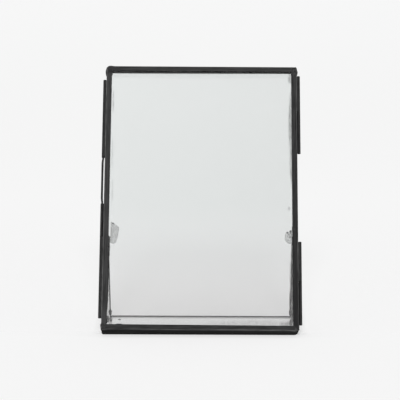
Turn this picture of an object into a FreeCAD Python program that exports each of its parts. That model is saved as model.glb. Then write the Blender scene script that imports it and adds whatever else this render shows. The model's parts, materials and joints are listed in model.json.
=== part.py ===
"""Standing photo frame: two clear panes in dark metal came, hinged at the left, on a folding wire stand.

Every piece is drawn with the frame upright: X runs across it, Y from the front face to the back, and
Z up along the came. The finished pieces are then leaned back and set down on the surface, with the
origin at the middle of the object's footprint box, +Z up and the front facing -Y. Lengths are in mm.
"""
import FreeCAD, Part
import math
import os

Vector = FreeCAD.Vector

# Driving sizes of the two panels
frame_width = 130.0
frame_height = 190.0
lean_deg = 29.5
front_depth = 4.7
rear_depth = 4.7
seam_gap = 0.6
sheet = 0.6
front_left_face = 3.7
front_right_face = 3.8
front_rail_face = 3.5
rear_face = 2.8
outer_arris = 0.45
inner_arris = 0.2

# Outer corners as they were filed, each with its own radius
top_left_radius = 2.6
top_right_radius = 1.3
bottom_left_radius = 1.3
bottom_right_radius = 3.0

# How far each corner of the front panel is out of square, up the came
front_bottom_left_rise = 0.35
front_bottom_right_rise = -0.4
front_top_right_rise = 0.0
front_top_left_rise = 0.5

# Solder at the mitred corners, and where it stands out round three corners of the front panel
mitre_seam = 0.5
corner_pad_radius = 1.15
corner_pad_height = 0.25
top_left_bulge = 0.35
bottom_left_bulge = 0.35
bottom_right_bulge = 0.3
bulge_flat = 0.4
bulge_taper = 2.2

# Panes
pane_thickness = 2.0
pane_bed = 0.1
pane_edge_clearance = 0.4

# Knuckle tubes along both sides, and the hinge pin in the left ones
knuckle_radius = 1.1
knuckle_bore_radius = 0.7
knuckle_side_gap = 0.15
knuckle_end_gap = 0.3
hinge_pin_radius = 0.65
hinge_pin_inset = 0.4
left_upper_from_top = 8.2
left_upper_length = 57.3
left_lower_from_bottom = 9.7
left_lower_length = 57.6
left_middle_length = 23.1
right_upper_from_top = 5.0
right_upper_front_length = 27.2
right_upper_rear_length = 29.7
right_lower_from_bottom = 5.3
right_lower_rear_length = 29.4
right_lower_front_length = 28.6
fillet_height = 1.3
fillet_end_inset = 0.8

# Wire stand behind the rear pane, its lugs and its pads
wire_radius = 0.45
left_leg_from_edge = 3.1
right_leg_from_edge = 3.7
leg_bend_radius = 1.0
pivot_height = 68.5
pivot_radial_clearance = 0.05
lug_radius = 0.9
lug_side_gap = 0.1
lug_pane_gap = 0.1
lug_length = 1.3
stop_gap = 0.05
stop_thickness = 0.6
stop_reach = 3.2
foot_fold_clearance = 1.15
left_foot_overhang = 0.5
right_foot_overhang = 1.3
bead_radius = 0.95
bead_length = 3.9
bead_lift = 0.55
bead_belly_share = 0.85
pad_thickness = 0.3
pad_width = 5.4
left_pad_leg_gap = 0.95
right_pad_leg_gap = 0.35
pad_below_pivot = 4.9
left_pad_above_pivot = 10.2
right_pad_above_pivot = 4.1

# How far cutting shapes run past what they cut, and how near two places count as the same
overrun = 1.0
same_place = 0.006

# Planes and lines worked out from the sizes above
half_width = frame_width / 2
seam_front = front_depth
seam_back = front_depth + seam_gap
total_depth = seam_back + rear_depth
knuckle_offset = half_width + knuckle_side_gap + knuckle_radius
knuckle_depth = (seam_front + seam_back) / 2
rear_pane_back = seam_back + sheet + pane_bed + pane_thickness
pivot_depth = rear_pane_back + lug_pane_gap + lug_radius
web_inside = half_width - sheet
leg_length = pivot_height - sheet - foot_fold_clearance - wire_radius
lean = math.radians(lean_deg)
front_rises = (front_bottom_left_rise, front_bottom_right_rise, front_top_right_rise, front_top_left_rise)
front_bulges = (bottom_left_bulge, bottom_right_bulge, 0, top_left_bulge)
square = (0, 0, 0, 0)


def corner_radii(inset):
    """Radii of an outline drawn inside the outer one, from bottom left counter-clockwise."""
    outer = (bottom_left_radius, bottom_right_radius, top_right_radius, top_left_radius)
    return [max(radius - inset, 0) for radius in outer]


def corner_places(inset, rises):
    """Corners of an outline drawn inside the outer one, from bottom left counter-clockwise."""
    low_x = inset - half_width
    high_x = half_width - inset
    high_z = frame_height - inset
    corners = [(low_x, inset), (high_x, inset), (high_x, high_z), (low_x, high_z)]
    return [(x, z + rise) for (x, z), rise in zip(corners, rises)]


def round_off(block, x, z, radius):
    """Round the edge of a block that runs from front to back through a place."""
    through = []
    for edge in block.Edges:
        if all(abs(end.X - x) < same_place and abs(end.Z - z) < same_place for end in edge.Vertexes):
            through.append(edge)
    return block.makeFillet(radius, through)


def plate(inset, rises, depth_from, depth_to):
    """Rounded plate, inset from the panel's outline, between two depths."""
    places = corner_places(inset, rises)
    block = prism(places, depth_from, depth_to)
    for (x, z), radius in zip(places, corner_radii(inset)):
        if radius > 0:
            block = round_off(block, x, z, radius)
    return block


def prism(points, depth_from, depth_to):
    """Polygon in the frame's plane, given as (x, z), between two depths."""
    wire = Part.makePolygon([Vector(x, depth_from, z) for x, z in points + points[:1]])
    return Part.Face(wire).extrude(Vector(0, depth_to - depth_from, 0))


def came_ring(front, depth, faces, rises):
    """L-shaped came all round one panel: a flat face in front and a web along the edge."""
    left_face, right_face, rail_face = faces
    outer = plate(0, rises, front, front + depth)
    pocket = plate(sheet, rises, front + sheet, front + depth + overrun)
    places = corner_places(rail_face, rises)
    left_x = left_face - half_width
    right_x = half_width - right_face
    sight = [(x, z) for x, (_, z) in zip((left_x, right_x, right_x, left_x), places)]
    window = prism(sight, front - overrun, front + depth)
    ring = outer.cut(pocket).cut(window)
    for face in ring.Faces:
        if face.BoundBox.YMax - front < same_place:
            outside = face.OuterWire.Edges
            inside = [edge for wire in face.Wires if not wire.isSame(face.OuterWire) for edge in wire.Edges]
    ring = ring.makeFillet(outer_arris, outside)
    keep = []
    for edge in ring.Edges:
        for old in inside:
            if (edge.CenterOfMass - old.CenterOfMass).Length < same_place:
                keep.append(edge)
    return ring.makeFillet(inner_arris, keep)


def split_ring(ring, front, depth, faces, rises, bulges):
    """Cut a ring at its mitres into four bars and the four seams of solder between them."""
    left_face, right_face, rail_face = faces
    half_seam = mitre_seam / math.sqrt(2)
    out = overrun
    deep = max(faces) + overrun
    low = front - overrun
    high = front + depth + overrun
    turns = [(1, 1), (-1, 1), (-1, -1), (1, -1)]
    corners = list(zip(corner_places(0, rises), turns))
    bottom_left, bottom_right, top_right, top_left = corners
    block = plate(0, rises, front, front + depth)

    def side(first, last):
        """Part of the ring between two corners up one side."""
        points = [from_corner(first, -out, half_seam - out), from_corner(first, deep, deep + half_seam),
                  from_corner(last, deep, deep + half_seam), from_corner(last, -out, half_seam - out)]
        return ring.common(prism(points, low, high))

    def rail(first, last):
        """Part of the ring between two corners along the bottom or the top."""
        points = [from_corner(first, half_seam - out, -out), from_corner(first, deep + half_seam, deep),
                  from_corner(last, deep + half_seam, deep), from_corner(last, half_seam - out, -out)]
        return ring.common(prism(points, low, high))

    bars = {
        "left": side(bottom_left, top_left),
        "right": side(bottom_right, top_right),
        "bottom": rail(bottom_left, bottom_right),
        "top": rail(top_left, top_right),
    }
    seams = []
    for corner, radius, bulge, face in zip(corners, corner_radii(0), bulges,
                                           (left_face, right_face, right_face, left_face)):
        points = [from_corner(corner, -out, half_seam - out), from_corner(corner, -out, -out),
                  from_corner(corner, half_seam - out, -out), from_corner(corner, deep + half_seam, deep),
                  from_corner(corner, deep, deep), from_corner(corner, deep, deep + half_seam)]
        seam = ring.common(prism(points, low, high))
        centre_x, centre_z = from_corner(corner, face / 2, rail_face / 2)
        seam = seam.fuse(solder_pad(centre_x, front, centre_z))
        if bulge > 0:
            seam = seam.fuse(corner_bulge(corner, radius, bulge, front, depth).cut(block))
        seams.append(seam.removeSplitter())
    return bars, seams


def from_corner(corner, x, z):
    """Place given from one outer corner of a panel, inwards in both directions."""
    (corner_x, corner_z), (in_x, in_z) = corner
    return corner_x + in_x * x, corner_z + in_z * z


def corner_bulge(corner, radius, proud, front, depth):
    """Solder that swells out round a corner and tapers off along both bars."""
    full = radius + proud + bulge_flat
    reach = full + bulge_taper
    points = [from_corner(corner, 0, reach), from_corner(corner, -proud, full), from_corner(corner, -proud, -proud),
              from_corner(corner, full, -proud), from_corner(corner, reach, 0), from_corner(corner, reach, reach)]
    swell = prism(points, front + outer_arris, front + depth - sheet)
    tip_x, tip_z = from_corner(corner, -proud, -proud)
    return round_off(swell, tip_x, tip_z, radius + proud)


def solder_pad(x, front, z):
    """Low dome of solder on the came's face, standing a little forward of it."""
    ball_radius = (corner_pad_radius ** 2 + corner_pad_height ** 2) / (2 * corner_pad_height)
    ball = Part.makeSphere(ball_radius, Vector(x, front + ball_radius - corner_pad_height, z))
    size = 2 * corner_pad_radius
    block = Part.makeBox(size, corner_pad_height, size)
    block.translate(Vector(x - corner_pad_radius, front - corner_pad_height, z - corner_pad_radius))
    return ball.common(block)


def pane(front, rises):
    """Glass behind the came's face, cut a little smaller than the web."""
    near = front + sheet + pane_bed
    return plate(sheet + pane_edge_clearance, rises, near, near + pane_thickness)


def knuckle(side, bottom, length):
    """Tube beside the came, in the plane of the seam; side is -1 at the left and 1 at the right."""
    foot = Vector(side * knuckle_offset, knuckle_depth, bottom)
    up = Vector(0, 0, 1)
    outside = Part.makeCylinder(knuckle_radius, length, foot, up)
    return outside.cut(Part.makeCylinder(knuckle_bore_radius, length, foot, up))


def knuckle_fillet(side, bottom, length, panel):
    """Solder between a tube and the side of the panel that carries it."""
    towards = -1 if panel == "front" else 1
    edge = seam_front if panel == "front" else seam_back
    tip = knuckle_depth + towards * knuckle_radius
    root = edge + towards * fillet_height
    axis_x = side * knuckle_offset
    side_x = side * half_width
    low = bottom + fillet_end_inset
    points = [(side_x, root), (side_x, edge), (axis_x, edge), (axis_x, tip)]
    wire = Part.makePolygon([Vector(x, y, low) for x, y in points + points[:1]])
    block = Part.Face(wire).extrude(Vector(0, 0, length - 2 * fillet_end_inset))
    tube = Part.makeCylinder(knuckle_radius, length, Vector(axis_x, knuckle_depth, bottom), Vector(0, 0, 1))
    return block.cut(tube)


def knuckle_rows():
    """Name, side, bottom and length of each tube, and the panel that carries it."""
    left_middle = left_lower_from_bottom + left_lower_length + knuckle_end_gap
    left_upper = frame_height - left_upper_from_top - left_upper_length
    right_split = right_lower_from_bottom + right_lower_rear_length + knuckle_end_gap
    right_top = frame_height - right_upper_from_top - right_upper_front_length
    right_upper = right_top - knuckle_end_gap - right_upper_rear_length
    return [
        ("front_left_upper_knuckle", -1, left_upper, left_upper_length, "front"),
        ("front_left_lower_knuckle", -1, left_lower_from_bottom, left_lower_length, "front"),
        ("rear_left_knuckle", -1, left_middle, left_middle_length, "rear"),
        ("front_right_upper_knuckle", 1, right_top, right_upper_front_length, "front"),
        ("rear_right_upper_knuckle", 1, right_upper, right_upper_rear_length, "rear"),
        ("front_right_lower_knuckle", 1, right_split, right_lower_front_length, "front"),
        ("rear_right_lower_knuckle", 1, right_lower_from_bottom, right_lower_rear_length, "rear"),
    ]


def hinge_pin():
    """Straight wire through the left knuckles, a little short of their outer ends."""
    bottom = left_lower_from_bottom + hinge_pin_inset
    top = frame_height - left_upper_from_top - hinge_pin_inset
    foot = Vector(-knuckle_offset, knuckle_depth, bottom)
    return Part.makeCylinder(hinge_pin_radius, top - bottom, foot, Vector(0, 0, 1))


def open_angle():
    """Angle between the legs and the rear face when the foot bar stands on the surface."""
    behind = total_depth - pivot_depth
    pivot_rise = pivot_height * math.cos(lean) + behind * math.sin(lean)
    from_upright = math.acos((pivot_rise - wire_radius) / leg_length)
    return from_upright + lean


def leg_direction():
    """Unit vector from the pivot down a leg, with the frame drawn upright."""
    angle = open_angle()
    return Vector(0, math.sin(angle), -math.cos(angle))


def leg_x(side):
    """Where a leg stands across the frame; side is -1 at the left and 1 at the right."""
    from_edge = left_leg_from_edge if side < 0 else right_leg_from_edge
    return side * (half_width - from_edge)


def foot_bar():
    """Straight wire across the feet of both legs."""
    left_end = leg_x(-1) - left_foot_overhang
    start = Vector(left_end, pivot_depth, pivot_height) + leg_direction() * leg_length
    length = leg_x(1) + right_foot_overhang - left_end
    return Part.makeCylinder(wire_radius, length, start, Vector(1, 0, 0))


def leg(side):
    """Wire that turns out of its lug, bends down and ends on the foot bar."""
    down = leg_direction()
    pivot = Vector(leg_x(side), pivot_depth, pivot_height)
    out = Vector(side, 0, 0)
    stub_end = Vector(side * (web_inside - lug_side_gap), pivot_depth, pivot_height)
    bend_start = pivot + out * leg_bend_radius
    bend_end = pivot + down * leg_bend_radius
    bend_centre = bend_start + down * leg_bend_radius
    inwards = pivot - bend_centre
    inwards.normalize()
    bend_middle = bend_centre + inwards * leg_bend_radius
    foot = pivot + down * leg_length
    path = Part.Wire([
        Part.LineSegment(stub_end, bend_start).toShape(),
        Part.Arc(bend_start, bend_middle, bend_end).toShape(),
        Part.LineSegment(bend_end, foot).toShape(),
    ])
    section = Part.Wire(Part.makeCircle(wire_radius, stub_end, out))
    wire = path.makePipeShell([section], True, True)
    return wire.cut(foot_bar())


def foot_bead(side):
    """Teardrop of solder round the foot of a leg, fullest near the bar."""
    down = leg_direction()
    foot = Vector(leg_x(side), pivot_depth, pivot_height) + down * leg_length
    low = wire_radius + bead_lift
    high = low + bead_length
    full = low + bead_radius
    start = Vector(wire_radius, 0, low)
    widest = Vector(bead_radius, 0, full)
    end = Vector(wire_radius, 0, high)
    belly = Vector(wire_radius + (bead_radius - wire_radius) * bead_belly_share, 0, (low + full) / 2)
    edges = [
        Part.LineSegment(Vector(0, 0, low), start).toShape(),
        Part.Arc(start, belly, widest).toShape(),
        Part.LineSegment(widest, end).toShape(),
        Part.LineSegment(end, Vector(0, 0, high)).toShape(),
        Part.LineSegment(Vector(0, 0, high), Vector(0, 0, low)).toShape(),
    ]
    drop = Part.Face(Part.Wire(edges)).revolve(Vector(0, 0, 0), Vector(0, 0, 1), 360)
    turn = math.degrees(math.atan2(down.y, -down.z))
    drop.rotate(Vector(0, 0, 0), Vector(1, 0, 0), turn)
    drop.translate(foot)
    return drop.cut(leg(side)).cut(foot_bar())


def stand_lug(side):
    """Short tube that a leg turns in, with an ear that stops the leg when it is open."""
    outer_end = web_inside - lug_side_gap
    start = Vector(side * outer_end, pivot_depth, pivot_height)
    inwards = Vector(-side, 0, 0)
    tube = Part.makeCylinder(lug_radius, lug_length, start, inwards)
    ear_width = outer_end - abs(leg_x(side)) + wire_radius
    ear = Part.makeBox(ear_width, stop_thickness, stop_reach)
    ear.translate(Vector(0, wire_radius + stop_gap, -stop_reach))
    if side > 0:
        ear.translate(Vector(outer_end - ear_width, 0, 0))
    else:
        ear.translate(Vector(-outer_end, 0, 0))
    turn = math.degrees(open_angle())
    ear.rotate(Vector(0, 0, 0), Vector(1, 0, 0), turn)
    ear.translate(Vector(0, pivot_depth, pivot_height))
    bore_radius = wire_radius + pivot_radial_clearance
    bore = Part.makeCylinder(bore_radius, lug_length + overrun, start - inwards * overrun / 2, inwards)
    return tube.fuse(ear).cut(bore).removeSplitter()


def lug_solder(side):
    """Solder that joins a lug to the inside of the rear web, beside the pane."""
    wall = side * web_inside
    reach = lug_length / 2 + lug_side_gap
    height = 2 * lug_radius
    block = Part.makeBox(reach, lug_radius, height)
    low_x = wall - reach if side > 0 else wall
    block.translate(Vector(low_x, rear_pane_back + lug_pane_gap / 2, pivot_height - height / 2))
    axis = Vector(wall - side * (reach + overrun), pivot_depth, pivot_height)
    hole = Part.makeCylinder(lug_radius, reach + 2 * overrun, axis, Vector(side, 0, 0))
    return block.cut(hole)


def bumper_pad(side, above):
    """Clear D-shaped pad on the back of the rear pane, just inside a leg."""
    leg_gap = left_pad_leg_gap if side < 0 else right_pad_leg_gap
    straight = leg_x(side) - side * (wire_radius + leg_gap)
    tip = straight - side * pad_width
    low = pivot_height - pad_below_pivot
    high = pivot_height + above
    near = rear_pane_back
    bottom = Vector(straight, near, low)
    top = Vector(straight, near, high)
    round_edge = Part.Arc(top, Vector(tip, near, (low + high) / 2), bottom).toShape()
    wire = Part.Wire([Part.LineSegment(bottom, top).toShape(), round_edge])
    return Part.Face(wire).extrude(Vector(0, pad_thickness, 0))


def build():
    """All nodes by name, with the frame drawn upright."""
    nodes = {}
    front_faces = (front_left_face, front_right_face, front_rail_face)
    rear_faces = (rear_face, rear_face, rear_face)
    panels = (("front", 0, front_depth, front_faces, front_rises, front_bulges),
              ("rear", seam_back, rear_depth, rear_faces, square, square))
    for name, front, depth, faces, rises, bulges in panels:
        ring = came_ring(front, depth, faces, rises)
        bars, seams = split_ring(ring, front, depth, faces, rises, bulges)
        for place, bar in bars.items():
            nodes[name + "_came_" + place] = bar
        nodes[name + "_corner_solder"] = Part.makeCompound(seams)
        nodes[name + "_glass"] = pane(front, rises)
    fillets = {"front": [], "rear": []}
    for name, side, bottom, length, panel in knuckle_rows():
        nodes[name] = knuckle(side, bottom, length)
        fillets[panel].append(knuckle_fillet(side, bottom, length, panel))
    nodes["front_knuckle_solder"] = Part.makeCompound(fillets["front"])
    nodes["rear_knuckle_solder"] = Part.makeCompound(fillets["rear"])
    nodes["hinge_pin"] = hinge_pin()
    nodes["stand_left_leg"] = leg(-1)
    nodes["stand_right_leg"] = leg(1)
    nodes["stand_foot_bar"] = foot_bar()
    nodes["stand_foot_beads"] = Part.makeCompound([foot_bead(-1), foot_bead(1)])
    nodes["left_stand_lug"] = stand_lug(-1)
    nodes["right_stand_lug"] = stand_lug(1)
    nodes["stand_lug_solder"] = Part.makeCompound([lug_solder(-1), lug_solder(1)])
    nodes["left_bumper_pad"] = bumper_pad(-1, left_pad_above_pivot)
    nodes["right_bumper_pad"] = bumper_pad(1, right_pad_above_pivot)
    return nodes


def lean_back(shape):
    """Lean an upright shape back about the rear bottom edge, which rests on the surface."""
    leaned = shape.copy()
    leaned.translate(Vector(0, -total_depth, 0))
    leaned.rotate(Vector(0, 0, 0), Vector(1, 0, 0), -lean_deg)
    return leaned


def footprint_origin(shapes):
    """Middle of the leaned object's box at its lowest level."""
    box = Part.makeCompound(shapes).BoundBox
    return Vector((box.XMin + box.XMax) / 2, (box.YMin + box.YMax) / 2, box.ZMin)


leaned_nodes = {name: lean_back(shape) for name, shape in build().items()}
origin = footprint_origin(list(leaned_nodes.values()))
os.makedirs("parts", exist_ok=True)
for name, shape in leaned_nodes.items():
    shape.translate(-origin)
    shape.exportStep("parts/" + name + ".step")
    print(name, "solids", len(shape.Solids), "valid", shape.isValid(), "volume", round(shape.Volume, 2))
print("origin", origin, "stand opens", round(math.degrees(open_angle()), 3), "degrees, leg", round(leg_length, 3))
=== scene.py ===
"""Standing photo frame: two clear panes in blackened metal came, hinged at the left, on a wire stand."""
import json
import math
import bmesh
import bpy
from mathutils import Matrix, Vector, noise


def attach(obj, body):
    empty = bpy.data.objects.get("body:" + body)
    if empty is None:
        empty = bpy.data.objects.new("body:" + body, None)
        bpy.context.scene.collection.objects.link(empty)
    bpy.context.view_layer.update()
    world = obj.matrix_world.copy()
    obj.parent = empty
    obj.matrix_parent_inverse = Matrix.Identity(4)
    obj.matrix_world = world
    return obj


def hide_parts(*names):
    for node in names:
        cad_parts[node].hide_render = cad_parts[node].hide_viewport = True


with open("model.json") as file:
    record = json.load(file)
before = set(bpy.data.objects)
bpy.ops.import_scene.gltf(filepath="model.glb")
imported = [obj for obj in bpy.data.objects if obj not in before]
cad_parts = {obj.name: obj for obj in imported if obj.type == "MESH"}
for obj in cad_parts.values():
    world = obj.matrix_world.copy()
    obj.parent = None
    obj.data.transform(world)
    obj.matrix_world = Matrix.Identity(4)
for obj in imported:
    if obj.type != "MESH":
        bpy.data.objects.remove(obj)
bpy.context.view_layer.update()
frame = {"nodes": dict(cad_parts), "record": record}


# Camera
# A long lens, a little above the table and square to the frame, as in the photo. The frame is
# turned half a degree on the table and the camera tilts by an eighth, so both go into its place.
focal_pixels = 2430.2
image_pixels = 400
sensor_mm = 36.0
nearest_seen = 0.01
camera_distance = 1.6368
camera_target = Vector((-0.000225, 0.045, 0.083614))
rest_edge_y = -0.042365
camera_rise = math.radians(7.689)
camera_roll = math.radians(0.127)
frame_turn = math.radians(0.474)

look = Vector((0, math.cos(camera_rise), -math.sin(camera_rise)))
across = Vector((1, 0, 0))
over = across.cross(look)
rolled_across = across * math.cos(camera_roll) + over * math.sin(camera_roll)
rolled_over = over * math.cos(camera_roll) - across * math.sin(camera_roll)
stand_point = camera_target - look * camera_distance
axes = Matrix((rolled_across, rolled_over, -look)).transposed().to_4x4()
pose = Matrix.Translation(stand_point) @ axes
camera_data = bpy.data.cameras.new("long_lens")
camera_data.sensor_width = sensor_mm
camera_data.lens = focal_pixels / image_pixels * sensor_mm
camera_data.clip_start = nearest_seen
camera = bpy.data.objects.new("long_lens", camera_data)
camera.matrix_world = Matrix.Translation((0, rest_edge_y, 0)) @ Matrix.Rotation(frame_turn, 4, "Z") @ pose
bpy.context.scene.collection.objects.link(camera)
bpy.context.scene.camera = camera


# Came bars
# Eight L-shaped bars of thin sheet, four to a panel, mitred and soldered round each pane. The metal
# is blackened with patina, which runs in streaks along each bar. Its outer edges are painted paler, as
# rubbed wear and as a painted highlight, and its webs are painted darker as shade.
lean = math.radians(29.5)
total_depth = 0.010
frame_width = 0.130
frame_height = 0.190

# Turns the leaned frame upright: X across, Y from front to back, Z up along the came
upright_turn = (lean, 0, 0)
upright_move = (0, total_depth - rest_edge_y * math.cos(lean), -rest_edge_y * math.sin(lean))


def bare_material(name):
    """Material with one Principled shader, and its node tree."""
    material = bpy.data.materials.new(name)
    material.use_nodes = True
    tree = material.node_tree
    return material, tree, tree.nodes["Principled BSDF"]


def feed(tree, given, socket):
    """Link a socket to another one, or set it to a plain value."""
    if isinstance(given, bpy.types.NodeSocket):
        tree.links.new(given, socket)
    else:
        socket.default_value = given


def calculate(tree, operation, *terms):
    """Result of a Math node on one to three sockets or numbers."""
    node = tree.nodes.new("ShaderNodeMath")
    node.operation = operation
    for term, socket in zip(terms, node.inputs):
        feed(tree, term, socket)
    return node.outputs["Value"]


def carry(tree, value, low, high, to_low=0, to_high=1):
    """Value carried from one range to another, and held at its ends."""
    node = tree.nodes.new("ShaderNodeMapRange")
    node.inputs["From Min"].default_value = low
    node.inputs["From Max"].default_value = high
    node.inputs["To Min"].default_value = to_low
    node.inputs["To Max"].default_value = to_high
    tree.links.new(value, node.inputs["Value"])
    return node.outputs["Result"]


def blend(tree, factor, first, second, kind="MIX"):
    """Colour that goes from the first to the second, or is multiplied by it."""
    node = tree.nodes.new("ShaderNodeMix")
    node.data_type = "RGBA"
    node.blend_type = kind
    feed(tree, factor, node.inputs["Factor"])
    feed(tree, first, node.inputs["A"])
    feed(tree, second, node.inputs["B"])
    return node.outputs["Result"]


def grain(tree, place, scale, detail, roughness=0.5):
    """Cloudy pattern of so many waves to the metre."""
    node = tree.nodes.new("ShaderNodeTexNoise")
    node.inputs["Scale"].default_value = scale
    node.inputs["Detail"].default_value = detail
    node.inputs["Roughness"].default_value = roughness
    tree.links.new(place, node.inputs["Vector"])
    return node.outputs["Fac"]


def stretched(tree, place, stretch):
    """Place on a pattern that is drawn out where the stretch is under one."""
    node = tree.nodes.new("ShaderNodeMapping")
    node.inputs["Scale"].default_value = stretch
    tree.links.new(place, node.inputs["Vector"])
    return node.outputs["Vector"]


def upright_place(tree):
    """Place on the upright frame, whole and as its three parts."""
    source = tree.nodes.new("ShaderNodeTexCoord")
    turn = tree.nodes.new("ShaderNodeMapping")
    turn.inputs["Rotation"].default_value = upright_turn
    turn.inputs["Location"].default_value = upright_move
    tree.links.new(source.outputs["Object"], turn.inputs["Vector"])
    split = tree.nodes.new("ShaderNodeSeparateXYZ")
    tree.links.new(turn.outputs["Vector"], split.inputs["Vector"])
    return turn.outputs["Vector"], split.outputs


def new_group(name, takes, gives):
    """Node group with named inputs and outputs, and the nodes inside that stand for them."""
    group = bpy.data.node_groups.new(name, "ShaderNodeTree")
    for way, sockets in (("INPUT", takes), ("OUTPUT", gives)):
        for socket, kind in sockets.items():
            group.interface.new_socket(socket, in_out=way, socket_type="NodeSocket" + kind)
    given = group.nodes.new("NodeGroupInput").outputs
    made = group.nodes.new("NodeGroupOutput").inputs
    return group, given, made


# Waves to the metre, and the part of each pattern's range that is used
streak_scale = 900
streak_detail = 5
streak_roughness = 0.62
streak_range = (0.36, 0.64)
scuff_scale = 1700
scuff_detail = 3
scuff_range = (0.30, 0.62)
pit_scale = 1300
pit_share = 0.25
dark_roughness = 0.60
light_roughness = 0.40


def patina_group():
    """Streaks, blotches and pits of black patina on solder-coated metal, turned paler by rubbed wear and
    by a painted highlight that is fed in.
    """
    takes = {"Place": "Vector", "Dark": "Color", "Light": "Color", "Highlit_and_worn": "Color", "Highlight_and_wear": "Float"}
    gives = {"Color": "Color", "Roughness": "Float", "Height": "Float"}
    group, given, made = new_group("patina", takes, gives)
    streaks = grain(group, given["Place"], streak_scale, streak_detail, streak_roughness)
    spread = carry(group, streaks, *streak_range)
    tone = blend(group, spread, given["Dark"], given["Light"])
    scuffs = grain(group, given["Place"], scuff_scale, scuff_detail)
    patchy = carry(group, scuffs, *scuff_range)
    # Paler where rubbed: real wear, and on the arrises a painted highlight
    lit_and_worn_share = calculate(group, "MULTIPLY", patchy, given["Highlight_and_wear"])
    lit_and_worn = blend(group, lit_and_worn_share, tone, given["Highlit_and_worn"])
    group.links.new(lit_and_worn, made["Color"])

    satin = carry(group, spread, 0, 1, dark_roughness, light_roughness)
    group.links.new(satin, made["Roughness"])

    pits = group.nodes.new("ShaderNodeTexVoronoi")
    pits.inputs["Scale"].default_value = pit_scale
    group.links.new(given["Place"], pits.inputs["Vector"])
    relief = calculate(group, "MULTIPLY_ADD", pits.outputs["Distance"], pit_share, streaks)
    group.links.new(relief, made["Height"])
    return group


patina = patina_group()

# The outer arris is painted paler, partly as rubbed wear and partly as a painted highlight. The web, which
# stands back from the face, is painted darker as shade, and is duller.
outer_arris = 0.00045
highlight_ends_at = outer_arris * 1.3
highlight_full_at = outer_arris * 0.6
rub_on_face = 0.04
highlight_turns_low = 0.061
highlight_turns_high = 0.066
web_from = 0.0006
web_to = 0.0013
web_shade = 0.3
web_dulling = 0.5
plain_rub = 0.08
bump_strength = 0.5


def from_outline(tree, parts):
    """How far a place is from the nearest outer edge of the upright frame."""
    sideways = calculate(tree, "ABSOLUTE", parts["X"])
    from_side = calculate(tree, "SUBTRACT", frame_width / 2, sideways)
    from_top = calculate(tree, "SUBTRACT", frame_height, parts["Z"])
    from_end = calculate(tree, "MINIMUM", parts["Z"], from_top)
    return calculate(tree, "MINIMUM", from_side, from_end)


def patina_material(name, stretch, dark, light, rubbed, relief, gleam, edge_highlight=None, height_tone=(1, 1)):
    """Blackened metal. Given edge highlight shares, its outer arrises get a painted highlight of one share
    low down and another above it, its web gets painted shade, and its tone goes from one share to
    another up the frame."""
    material, tree, shader = bare_material(name)
    place, parts = upright_place(tree)
    finish = tree.nodes.new("ShaderNodeGroup")
    finish.node_tree = patina
    tree.links.new(stretched(tree, place, stretch), finish.inputs["Place"])
    finish.inputs["Dark"].default_value = dark
    finish.inputs["Light"].default_value = light
    finish.inputs["Highlit_and_worn"].default_value = rubbed
    finish.inputs["Highlight_and_wear"].default_value = plain_rub
    colour = finish.outputs["Color"]
    roughness = finish.outputs["Roughness"]
    if edge_highlight:
        # Painted highlight along the outer arris, stronger low down
        highlight_band = carry(tree, from_outline(tree, parts), highlight_ends_at, highlight_full_at, rub_on_face)
        by_height = carry(tree, parts["Z"], highlight_turns_low, highlight_turns_high, *edge_highlight)
        tree.links.new(calculate(tree, "MULTIPLY", highlight_band, by_height), finish.inputs["Highlight_and_wear"])
        # Painted shade on the web, which is also made rougher
        web = carry(tree, parts["Y"], web_from, web_to, 1, web_shade)
        rise = carry(tree, parts["Z"], 0, frame_height, *height_tone)
        tone = calculate(tree, "MULTIPLY", web, rise)
        colour = blend(tree, 1, colour, tone, "MULTIPLY")
        dull = carry(tree, parts["Y"], web_from, web_to, 0, web_dulling)
        roughness = calculate(tree, "ADD", roughness, dull)
        roughness.node.use_clamp = True
    tree.links.new(colour, shader.inputs["Base Color"])
    tree.links.new(roughness, shader.inputs["Roughness"])
    bump = tree.nodes.new("ShaderNodeBump")
    bump.inputs["Strength"].default_value = bump_strength
    bump.inputs["Distance"].default_value = relief
    tree.links.new(finish.outputs["Height"], bump.inputs["Height"])
    tree.links.new(bump.outputs["Normal"], shader.inputs["Normal"])
    shader.inputs["Specular IOR Level"].default_value = gleam
    return material


def finish_node(name, material):
    """Give a CAD node its finish."""
    node = frame["nodes"][name]
    node.data.materials.clear()
    node.data.materials.append(material)


# The right and bottom bars take darker copies of the came colours, which are painted shade. Each rubbed
# colour is paler wear, and on the arrises the painted highlight.
came_dark = (0.004, 0.004, 0.0041, 1)
came_light = (0.022, 0.022, 0.0222, 1)
shaded_came_dark = (0.0025, 0.0025, 0.0026, 1)
shaded_came_light = (0.014, 0.014, 0.0142, 1)
came_worn_and_highlit = (0.13, 0.13, 0.129, 1)
rail_worn_and_highlit = (0.05, 0.05, 0.0495, 1)
shaded_foot_light = (0.019, 0.019, 0.0192, 1)
foot_worn_and_highlit = (0.065, 0.065, 0.0645, 1)
came_relief = 0.00008
up_the_bar = (1, 1, 0.07)
along_the_rail = (0.07, 1, 1)
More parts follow.
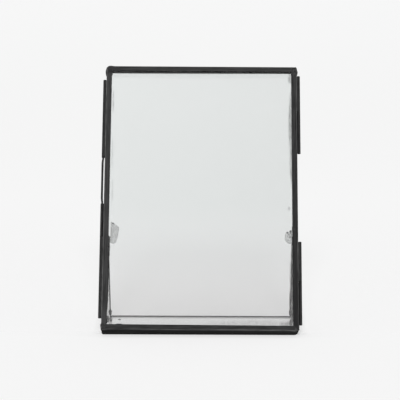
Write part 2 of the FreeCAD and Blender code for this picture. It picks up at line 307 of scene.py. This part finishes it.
# Each bar gets a painted highlight on its outer arris and painted shade on its web
left_came = patina_material("left_came", up_the_bar, came_dark, came_light, came_worn_and_highlit, came_relief,
                            gleam=0.17, edge_highlight=(1, 0.8), height_tone=(0.85, 1.2))
right_came = patina_material("right_came", up_the_bar, shaded_came_dark, shaded_came_light, came_worn_and_highlit,
                             came_relief, gleam=0.12, edge_highlight=(1, 0.25), height_tone=(0.3, 2.2))
top_came = patina_material("top_came", along_the_rail, came_dark, came_light, rail_worn_and_highlit, came_relief,
                           gleam=0.19, edge_highlight=(1, 0.3))
foot_came = patina_material("foot_came", along_the_rail, shaded_came_dark, shaded_foot_light, foot_worn_and_highlit,
                            came_relief, gleam=0.12, edge_highlight=(1, 0.3))
bar_finishes = {"left": left_came, "right": right_came, "bottom": foot_came, "top": top_came}
for panel in ("rear", "front"):
    for side, finish in bar_finishes.items():
        finish_node(panel + "_came_" + side, finish)


# Corner solder
# Black solder that runs through each mitre and stands a little proud of the came. It is lumpy
# where it was flooded on with an iron, and darker than the bars.
solder_dark = (0.003, 0.003, 0.0031, 1)
solder_light = (0.016, 0.016, 0.0162, 1)
solder_worn_and_highlit = (0.060, 0.060, 0.059, 1)
solder_relief = 0.00022
solder_stretch = (0.7, 0.7, 0.7)
# Painted highlight on its outer arrises and painted shade on its web, as on the bars
black_solder = patina_material("black_solder", solder_stretch, solder_dark, solder_light, solder_worn_and_highlit,
                               solder_relief, gleam=0.2, edge_highlight=(0.6, 0.3))
for panel in ("rear", "front"):
    finish_node(panel + "_corner_solder", black_solder)

# Lays upright places down on the leaned frame
upright_to_leaned = (Matrix.Translation((0, rest_edge_y, 0)) @ Matrix.Rotation(-lean, 4, "X")
                     @ Matrix.Translation((0, -total_depth, 0)))
lump_grain = 1.7
lump_depth = 0.22
noise_per_metre = 1000


def add_piece(name, made, material, body):
    """Lay a bmesh drawn on the upright frame down on the leaned one, as a piece of a body."""
    bmesh.ops.transform(made, matrix=upright_to_leaned, verts=made.verts)
    for face in made.faces:
        face.smooth = True
    mesh = bpy.data.meshes.new(name)
    made.to_mesh(mesh)
    made.free()
    mesh.materials.append(material)
    piece = bpy.data.objects.new(name, mesh)
    bpy.context.scene.collection.objects.link(piece)
    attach(piece, body)
    return piece


def solder_lump(name, middle, reach, material, body, turn=0):
    """Blob with an uneven skin, as solder or glue sets. A turn tips it back about X."""
    made = bmesh.new()
    bmesh.ops.create_icosphere(made, subdivisions=4, radius=1)
    for vertex in made.verts:
        wave = noise.noise(vertex.co * lump_grain + Vector(middle) * noise_per_metre)
        vertex.co *= 1 + lump_depth * wave
    bmesh.ops.scale(made, vec=reach, verts=made.verts)
    bmesh.ops.rotate(made, cent=(0, 0, 0), matrix=Matrix.Rotation(turn, 3, "X"), verts=made.verts)
    bmesh.ops.translate(made, vec=middle, verts=made.verts)
    add_piece(name, made, material, body)


# Middle and reach of each lump, across, front to back and up the frame
corner_lumps = {
    "top_left_lump": ((-0.0633, 0.0012, 0.1862), (0.0024, 0.0015, 0.0041)),
    "top_left_nub": ((-0.0607, 0.0012, 0.1900), (0.0014, 0.0012, 0.0007)),
    "top_right_lump": ((0.0639, 0.0012, 0.1862), (0.0017, 0.0013, 0.0040)),
    "top_right_inner_lump": ((0.0620, 0.0005, 0.1840), (0.0009, 0.0004, 0.0010)),
    "bottom_left_lump": ((-0.0638, 0.0012, 0.0030), (0.0017, 0.0015, 0.0022)),
    "bottom_right_lump": ((0.0633, 0.0012, 0.0012), (0.0019, 0.0014, 0.0015)),
    "bottom_rail_nub": ((-0.0533, 0.0005, 0.0036), (0.0024, 0.0005, 0.0007)),
    "right_bar_lump": ((0.0621, 0.0004, 0.0718), (0.0013, 0.0006, 0.0024)),
}
for name, (middle, reach) in corner_lumps.items():
    solder_lump(name, middle, reach, black_solder, "front_panel")


# Panes
# Two sheets of thin clear glass, faintly green, held by the came and by the solder at its corners.
# Lamps pass through them, a little dimmed, so that they cast only a pale shadow.
# Painted shade: the glass is drawn a little darker towards its right side
glass_left_tone = (1, 1, 1, 1)
glass_right_painted_shade = (0.978, 0.978, 0.978, 1)
glass_lets_through = (0.87, 0.87, 0.87, 1)
glass_ior = 1.5
smear_grey = (0.16, 0.16, 0.155, 1)

# Colour of the glass at shares of its height: its own faint green, and painted shade that is greyest at
# half height
glass_tint_and_shade_stops = (
    (0.13, (0.924, 0.924, 0.924, 1)),
    (0.30, (0.919, 0.926, 0.925, 1)),
    (0.48, (0.901, 0.914, 0.911, 1)),
    (0.85, (0.920, 0.932, 0.929, 1)),
)

# A smear is whole up to this share of its reach, and its streaks run up the pane
smear_whole_to = 0.4
smear_stretch = (1, 1, 0.3)
smear_scale = 800
smear_detail = 4
smear_range = (0.35, 0.60)
smear_least = 0.35


def grey_smear_group():
    """Cloudy grey streaks on a pane, fading out round their middle."""
    takes = {"Place": "Vector", "Middle": "Vector", "Reach": "Vector", "Strength": "Float"}
    group, given, made = new_group("grey_smear", takes, {"Mask": "Float"})
    offset = group.nodes.new("ShaderNodeVectorMath")
    offset.operation = "SUBTRACT"
    group.links.new(given["Place"], offset.inputs[0])
    group.links.new(given["Middle"], offset.inputs[1])
    ratio = group.nodes.new("ShaderNodeVectorMath")
    ratio.operation = "DIVIDE"
    group.links.new(offset.outputs["Vector"], ratio.inputs[0])
    group.links.new(given["Reach"], ratio.inputs[1])
    length = group.nodes.new("ShaderNodeVectorMath")
    length.operation = "LENGTH"
    group.links.new(ratio.outputs["Vector"], length.inputs[0])
    fade = carry(group, length.outputs["Value"], 1, smear_whole_to)
    fade.node.interpolation_type = "SMOOTHSTEP"
    streaks = grain(group, stretched(group, given["Place"], smear_stretch), smear_scale, smear_detail)
    broken = carry(group, streaks, *smear_range, smear_least)
    whole = calculate(group, "MULTIPLY", fade, broken)
    weighed = calculate(group, "MULTIPLY", whole, given["Strength"])
    group.links.new(weighed, made["Mask"])
    return group


grey_smear = grey_smear_group()


def pane_material(name, smears):
    """Clear glass that lamps pass through, with painted shade up the pane and towards its right side, and
    grey smears: middle, reach and strength of each.
    """
    material, tree, shader = bare_material(name)
    place, parts = upright_place(tree)
    # Painted shade up the pane, over the glass's own faint green
    tint = tree.nodes.new("ShaderNodeValToRGB")
    stops = tint.color_ramp.elements
    for place_up, shade in glass_tint_and_shade_stops[1:-1]:
        stops.new(place_up)
    for stop, (place_up, shade) in zip(stops, glass_tint_and_shade_stops):
        stop.position = place_up
        stop.color = shade
    tree.links.new(carry(tree, parts["Z"], 0, frame_height), tint.inputs["Fac"])
    # Painted shade: darker towards the right side of the pane
    sideways = carry(tree, parts["X"], -frame_width / 2, frame_width / 2)
    tone = blend(tree, sideways, glass_left_tone, glass_right_painted_shade)
    colour = blend(tree, 1, tint.outputs["Color"], tone, "MULTIPLY")
    for middle, reach, strength in smears:
        smear = tree.nodes.new("ShaderNodeGroup")
        smear.node_tree = grey_smear
        smear.inputs["Middle"].default_value = middle
        smear.inputs["Reach"].default_value = reach
        smear.inputs["Strength"].default_value = strength
        tree.links.new(place, smear.inputs["Place"])
        colour = blend(tree, smear.outputs["Mask"], colour, smear_grey)
    tree.links.new(colour, shader.inputs["Base Color"])
    shader.inputs["Roughness"].default_value = 0
    shader.inputs["IOR"].default_value = glass_ior
    shader.inputs["Transmission Weight"].default_value = 1
    clear = tree.nodes.new("ShaderNodeBsdfTransparent")
    clear.inputs["Color"].default_value = glass_lets_through
    rays = tree.nodes.new("ShaderNodeLightPath").outputs
    choice = tree.nodes.new("ShaderNodeMixShader")
    lit = calculate(tree, "MAXIMUM", rays["Is Shadow Ray"], rays["Is Diffuse Ray"])
    tree.links.new(lit, choice.inputs["Fac"])
    tree.links.new(shader.outputs["BSDF"], choice.inputs[1])
    tree.links.new(clear.outputs["BSDF"], choice.inputs[2])
    tree.links.new(choice.outputs["Shader"], tree.nodes["Material Output"].inputs["Surface"])
    return material


# Smears across, front to back and up the frame; the reach through the pane takes in both its faces
through = 0.1
rear_smears = (
    ((-0.0603, 0, 0.167), (0.0008, through, 0.012), 0.45),
    ((0.0611, 0, 0.150), (0.0026, through, 0.030), 0.75),
    ((0.0610, 0, 0.120), (0.0016, through, 0.018), 0.75),
    ((0.0608, 0, 0.034), (0.0022, through, 0.034), 0.60),
    ((0.0608, 0, 0.183), (0.0024, through, 0.004), 0.60),
    ((0.0592, 0, 0.088), (0.0012, through, 0.002), 0.45),
    ((-0.0610, 0, 0.020), (0.0020, through, 0.018), 0.40),
    ((-0.0602, 0, 0.128), (0.0007, through, 0.016), 0.30),
    ((-0.0598, 0, 0.100), (0.0007, through, 0.012), 0.30),
    ((0.0340, 0, 0.0060), (0.040, through, 0.0040), 0.26),
    ((0.0580, 0, 0.0050), (0.0070, through, 0.0040), 0.55),
)
front_smears = (
    ((-0.010, 0, 0.186), (0.060, through, 0.0016), 0.20),
    ((0.0606, 0, 0.186), (0.0022, through, 0.0030), 0.60),
)
finish_node("rear_glass", pane_material("rear_pane_glass", rear_smears))
finish_node("front_glass", pane_material("front_pane_glass", front_smears))

# A black run down inside the left bar, and a grey run down the right edge of the rear pane
grey_run_dark = (0.10, 0.10, 0.10, 1)
grey_run_light = (0.30, 0.30, 0.295, 1)
glue_relief = 0.00005
grey_run_stretch = (1, 1, 0.5)
run_sides = 16
run_cuts = 40
run_depth = 0.45
run_noise_per_metre = 300
grey_run_finish = patina_material("grey_run_finish", grey_run_stretch, grey_run_dark, grey_run_light, grey_run_light, glue_relief,
                             gleam=0.3)


def upright_rod(low_reach, high_reach, length, sides, cuts):
    """Round rod that stands on the origin, cut across all the way up so that it can bend and swell."""
    made = bmesh.new()
    bmesh.ops.create_cone(made, cap_ends=True, segments=sides, radius1=low_reach, radius2=high_reach,
                          depth=length)
    bmesh.ops.translate(made, vec=(0, 0, length / 2), verts=made.verts)
    long_edges = [edge for edge in made.edges
                  if abs(edge.verts[0].co.z - edge.verts[1].co.z) > length / 2]
    bmesh.ops.subdivide_edges(made, edges=long_edges, cuts=cuts, use_grid_fill=True)
    return made


def solder_run(name, foot, length, low_reach, high_reach, flatness, material, body, belly=0):
    """Uneven run that tapers up one edge of a pane. A belly makes it wider half way up."""
    made = upright_rod(low_reach, high_reach, length, run_sides, run_cuts)
    for vertex in made.verts:
        wave = noise.noise(Vector((foot[0] * noise_per_metre, foot[2] * noise_per_metre,
                                   vertex.co.z * run_noise_per_metre)))
        swell = (1 + run_depth * wave) * (1 + belly * math.sin(math.pi * vertex.co.z / length))
        vertex.co.x *= swell
        vertex.co.y *= swell * flatness
    bmesh.ops.translate(made, vec=foot, verts=made.verts)
    add_piece(name, made, material, body)


solder_run("left_black_run", foot=(-0.0612, 0.00045, 0.0140), length=0.040, low_reach=0.0002,
           high_reach=0.0002, flatness=0.30, material=black_solder, body="front_panel",
           belly=1.8)
solder_run("left_lug_run", foot=(-0.0612, 0.00815, 0.0540), length=0.014, low_reach=0.0006,
           high_reach=0.0009, flatness=0.10, material=black_solder, body="rear_panel")
solder_run("right_grey_run", foot=(0.0614, 0.00812, 0.0084), length=0.054, low_reach=0.0012,
           high_reach=0.0006, flatness=0.08, material=grey_run_finish, body="rear_panel")

# Dark flecks on the rear pane, low down by its side bars
fleck_dark = (0.030, 0.030, 0.030, 1)
fleck_light = (0.10, 0.10, 0.099, 1)
unstretched = (1, 1, 1)
dark_marks = patina_material("dark_marks", unstretched, fleck_dark, fleck_light, fleck_light, glue_relief,
                            gleam=0.3)
pane_flecks = {
    "left_edge_fleck": ((-0.0609, 0.00593, 0.0090), (0.0010, 0.00006, 0.0024)),
    "left_corner_fleck": ((-0.0588, 0.00593, 0.0090), (0.0009, 0.00006, 0.0021)),
    "left_rail_fleck": ((-0.0532, 0.00593, 0.0088), (0.0011, 0.00006, 0.0004)),
    "left_low_fleck": ((-0.0617, 0.00593, 0.0074), (0.0011, 0.00006, 0.0013)),
    "right_corner_fleck": ((0.0600, 0.00593, 0.0072), (0.0010, 0.00006, 0.0022)),
    "right_edge_fleck": ((0.0593, 0.00812, 0.0205), (0.00030, 0.00008, 0.0085)),
}
for name, (middle, reach) in pane_flecks.items():
    solder_lump(name, middle, reach, dark_marks, "rear_panel")


# Knuckle tubes and hinge pin
# Thin tubes soldered along both sides, some to each panel, in line with one another. A straight wire
# through the left ones is the hinge, and shows between the upper tube and the middle one.
tube_dark = (0.003, 0.003, 0.0031, 1)
tube_light = (0.011, 0.011, 0.0112, 1)
tube_relief = 0.00008
up_the_tube = (1, 1, 0.12)
fillet_dark = (0.004, 0.004, 0.0041, 1)
fillet_light = (0.022, 0.022, 0.0222, 1)
fillet_relief = 0.0002
up_the_fillet = (1, 1, 0.3)
knuckle_tube = patina_material("knuckle_tube", up_the_tube, tube_dark, tube_light, came_worn_and_highlit,
                               tube_relief, gleam=0.15)
knuckle_fillet = patina_material("knuckle_fillet", up_the_fillet, fillet_dark, fillet_light,
                                 solder_worn_and_highlit, fillet_relief, gleam=0.2)
for name in ("front_left_upper", "front_left_lower", "front_right_upper", "front_right_lower", "rear_left",
             "rear_right_upper", "rear_right_lower"):
    finish_node(name + "_knuckle", knuckle_tube)
for panel in ("rear", "front"):
    finish_node(panel + "_knuckle_solder", knuckle_fillet)

wire_dark = (0.006, 0.006, 0.006, 1)
wire_light = (0.012, 0.012, 0.012, 1)
wire_relief = 0.00005
dark_wire = patina_material("dark_wire", unstretched, wire_dark, wire_light, came_worn_and_highlit, wire_relief,
                            gleam=0.18)
finish_node("hinge_pin", dark_wire)

# Between the tubes the wire is tinned and bows out a little, so a bent one is shown in its place
pin_radius = 0.00065
pin_across = -0.06625
pin_back = 0.005
pin_foot = 0.0101
pin_length = 0.1713
pin_sides = 24
pin_cuts = 120
bow_foot = 0.0907
bow_length = 0.0338
bow_out = 0.00037
bow_end_share = 0.12
tinned_swell = 0.12
made = upright_rod(pin_radius, pin_radius, pin_length, pin_sides, pin_cuts)
bmesh.ops.translate(made, vec=(pin_across, pin_back, pin_foot), verts=made.verts)
for vertex in made.verts:
    share = (vertex.co.z - bow_foot) / bow_length
    rise = min(max(min(share, 1 - share) / bow_end_share, 0), 1)
    ease = rise * rise * (3 - 2 * rise)
    vertex.co.x += (vertex.co.x - pin_across) * tinned_swell * ease - bow_out * ease
    vertex.co.y += (vertex.co.y - pin_back) * tinned_swell * ease
bowed_pin = add_piece("bowed_hinge_pin", made, dark_wire, "rear_panel")
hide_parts("hinge_pin")


# Stand lugs and pads
# Short tubes inside the rear panel that the stand turns in, each with an ear that stops it. Beside
# them a clear pad is stuck to the back of the pane.
for name in ("left_stand_lug", "right_stand_lug"):
    finish_node(name, dark_wire)
finish_node("stand_lug_solder", black_solder)

# The plastic of a pad is pale, and greyer where it is both high up and close to a bar
pad_dark = (0.42, 0.425, 0.42, 1)
pad_grey = (0.60, 0.61, 0.60, 1)
pad_by_bar = (0.30, 0.30, 0.30, 1)
pad_pale_out_to = 0.0575
pad_grey_out_from = 0.0605
pad_pale_up_to = 0.0665
pad_grey_up_from = 0.0690
pad_stretch = (1, 1, 0.35)
pad_cloud_scale = 420
pad_cloud_detail = 4
pad_cloud_range = (0.35, 0.65)
pad_roughness = 0.3
pad_cover = 0.40


def pad_material(name):
    """Cloudy clear plastic, greyer in patches and towards the bars."""
    material, tree, shader = bare_material(name)
    place, parts = upright_place(tree)
    cloud = grain(tree, stretched(tree, place, pad_stretch), pad_cloud_scale, pad_cloud_detail)
    tone = tree.nodes.new("ShaderNodeValToRGB")
    for stop, position, shade in zip(tone.color_ramp.elements, pad_cloud_range, (pad_dark, pad_grey)):
        stop.position = position
        stop.color = shade
    tree.links.new(cloud, tone.inputs["Fac"])
    sideways = calculate(tree, "ABSOLUTE", parts["X"])
    by_bar = carry(tree, sideways, pad_pale_out_to, pad_grey_out_from)
    high_up = carry(tree, parts["Z"], pad_pale_up_to, pad_grey_up_from)
    greyness = calculate(tree, "MULTIPLY", by_bar, high_up)
    greyer = blend(tree, greyness, tone.outputs["Color"], pad_by_bar, "MULTIPLY")
    tree.links.new(greyer, shader.inputs["Base Color"])
    shader.inputs["Roughness"].default_value = pad_roughness
    shader.inputs["Alpha"].default_value = pad_cover
    return material


clear_pad = pad_material("clear_pad")
for name in ("left_bumper_pad", "right_bumper_pad"):
    finish_node(name, clear_pad)

# The real pads are uneven dabs, so each is shown with the outline that it has in the photo
pad_back = 0.0080
pad_thickness = 0.0003
pad_corner = 0.0006
pad_rim = 0.00008
pad_outlines = {
    "left_bumper_pad": ((-0.0604, 0.0786), (-0.0588, 0.0777), (-0.0547, 0.0747), (-0.0549, 0.0716),
                        (-0.0553, 0.0680), (-0.0566, 0.0634), (-0.0584, 0.0626), (-0.0604, 0.0634)),
    "right_bumper_pad": ((0.0604, 0.0630), (0.0594, 0.0628), (0.0578, 0.0638), (0.0563, 0.0656),
                         (0.0562, 0.0694), (0.0575, 0.0714), (0.0590, 0.0712), (0.0600, 0.0728),
                         (0.0616, 0.0728), (0.0616, 0.0680), (0.0604, 0.0670)),
}
for node, outline in pad_outlines.items():
    made = bmesh.new()
    corners = [made.verts.new((across_frame, pad_back, up)) for across_frame, up in outline]
    made.faces.new(corners)
    bmesh.ops.bevel(made, geom=corners, offset=pad_corner, segments=4, profile=0.5, affect="VERTICES",
                    material=-1, clamp_overlap=True)
    grown = bmesh.ops.extrude_face_region(made, geom=made.faces[:])
    back_verts = [part for part in grown["geom"] if isinstance(part, bmesh.types.BMVert)]
    bmesh.ops.translate(made, vec=(0, pad_thickness, 0), verts=back_verts)
    back_edges = [edge for edge in made.edges if all(vertex in back_verts for vertex in edge.verts)]
    bmesh.ops.bevel(made, geom=back_edges, offset=pad_rim, segments=2, profile=0.5, affect="EDGES",
                    material=-1, clamp_overlap=True)
    bmesh.ops.recalc_face_normals(made, faces=made.faces)
    pad = add_piece(node.replace("bumper", "uneven"), made, clear_pad, "rear_panel")
    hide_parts(node)

# Dabs of dark glue on the pads
pad_dabs = {
    "left_pad_dab": ((-0.0588, 0.0083, 0.0774), (0.0009, 0.0002, 0.0005)),
    "right_pad_dab": ((0.0580, 0.0083, 0.0711), (0.0007, 0.0002, 0.0007)),
    "right_pad_end_dab": ((0.0601, 0.0083, 0.0718), (0.0006, 0.0002, 0.0010)),
    "right_pad_low_dab": ((0.0599, 0.0083, 0.0679), (0.0005, 0.0002, 0.0007)),
}
for name, (middle, reach) in pad_dabs.items():
    solder_lump(name, middle, reach, dark_marks, "rear_panel")


# Wire stand
# Two bent wires that turn in the lugs, and a straight wire across their feet, on which the frame
# leans. A bead of solder stands on each foot, with a drop of solder round it.
for name in ("stand_left_leg", "stand_right_leg", "stand_foot_bar"):
    finish_node(name, dark_wire)
finish_node("stand_foot_beads", black_solder)

pivot_depth = 0.009
pivot_height = 0.0685
leg_length = 0.0663
drop_above_foot = 0.0036
drop_behind_leg = 0.00025
drop_reach = (0.00115, 0.0010, 0.0017)
leg_places = {"left": -0.0619, "right": 0.0613}
open_angle = math.radians(frame["record"]["behaviour"]["joints"][1]["range_deg"][1])
down_leg = Vector((0, math.sin(open_angle), -math.cos(open_angle)))
behind_leg = Vector((0, math.cos(open_angle), math.sin(open_angle)))
for side, across_frame in leg_places.items():
    pivot = Vector((across_frame, pivot_depth, pivot_height))
    drop_middle = pivot + down_leg * (leg_length - drop_above_foot) + behind_leg * drop_behind_leg
    solder_lump(side + "_foot_drop", drop_middle, drop_reach, black_solder, "stand",
                turn=open_angle)


# Table and light
# A plain pale table that runs out of sight, glossy behind the frame and dull in front of it, under a
# pale sky and one broad soft lamp from above and in front.
paper_white = (0.9216, 0.9216, 0.9216, 1)
table_reach = 12
table_drop = 0.00002
sky_share = 0.68
lamp_rise = math.radians(28)
lamp_softness = math.radians(14)

table_mesh = bpy.data.meshes.new("table_top")
made = bmesh.new()
bmesh.ops.create_grid(made, x_segments=1, y_segments=1, size=table_reach)
bmesh.ops.translate(made, verts=made.verts, vec=(0, 0, -table_drop))
made.to_mesh(table_mesh)
made.free()
table_top = bpy.data.objects.new("table_top", table_mesh)
bpy.context.scene.collection.objects.link(table_top)

dull_before = rest_edge_y - 0.004
glossy_behind = rest_edge_y + 0.012
dull_roughness = 0.85
glossy_roughness = 0.06
table_finish, tree, shader = bare_material("table_finish")
where = tree.nodes.new("ShaderNodeTexCoord")
split = tree.nodes.new("ShaderNodeSeparateXYZ")
tree.links.new(where.outputs["Object"], split.inputs["Vector"])
parts = split.outputs
roughness = carry(tree, parts["Y"], dull_before, glossy_behind, dull_roughness, glossy_roughness)
tree.links.new(roughness, shader.inputs["Roughness"])
shader.inputs["Base Color"].default_value = paper_white

# Seen by eye or in a mirror, only a third of the shade in front of the frame and beside it is left
shade_hidden = 0.66
beside_from = frame_width / 2 + 0.001
beside_to = frame_width / 2 + 0.007
beside_ends_at = 0.35
beside_full_at = 0.05
front_edge_blend = 0.004
past_side = carry(tree, calculate(tree, "ABSOLUTE", parts["X"]), beside_from, beside_to)
near_by = carry(tree, parts["Y"], beside_ends_at, beside_full_at)
near_by.node.interpolation_type = "SMOOTHSTEP"
side_shade = calculate(tree, "MULTIPLY", past_side, near_by)
in_front = carry(tree, parts["Y"], rest_edge_y + front_edge_blend, rest_edge_y)
around = calculate(tree, "MAXIMUM", side_shade, in_front)
rays = tree.nodes.new("ShaderNodeLightPath").outputs
mirrored = calculate(tree, "MAXIMUM", rays["Is Glossy Ray"], rays["Is Transmission Ray"])
looking = calculate(tree, "MAXIMUM", rays["Is Camera Ray"], mirrored)
seen = calculate(tree, "MULTIPLY", looking, around)
plain = tree.nodes.new("ShaderNodeEmission")
plain.inputs["Color"].default_value = paper_white
mixed = tree.nodes.new("ShaderNodeMixShader")
tree.links.new(calculate(tree, "MULTIPLY", seen, shade_hidden), mixed.inputs["Fac"])
tree.links.new(shader.outputs["BSDF"], mixed.inputs[1])
tree.links.new(plain.outputs["Emission"], mixed.inputs[2])
tree.links.new(mixed.outputs["Shader"], tree.nodes["Material Output"].inputs["Surface"])
table_mesh.materials.append(table_finish)

# The sky is at full strength where it is seen, and dimmer where it lights the scene
sky = bpy.data.worlds.new("pale_sky")
sky.use_nodes = True
tree = sky.node_tree
background = tree.nodes["Background"]
background.inputs["Color"].default_value = paper_white
rays = tree.nodes.new("ShaderNodeLightPath").outputs
strength = carry(tree, rays["Is Diffuse Ray"], 0, 1, 1, sky_share / paper_white[0])
tree.links.new(strength, background.inputs["Strength"])
bpy.context.scene.world = sky

lamp_data = bpy.data.lights.new("broad_lamp", "SUN")
lamp_data.angle = lamp_softness
lamp_data.energy = (1 - sky_share) * math.pi / math.sin(lamp_rise)
lamp = bpy.data.objects.new("broad_lamp", lamp_data)
lamp.rotation_euler = (math.pi / 2 - lamp_rise, 0, 0)
bpy.context.scene.collection.objects.link(lamp)

bpy.context.scene.view_settings.view_transform = "Standard"
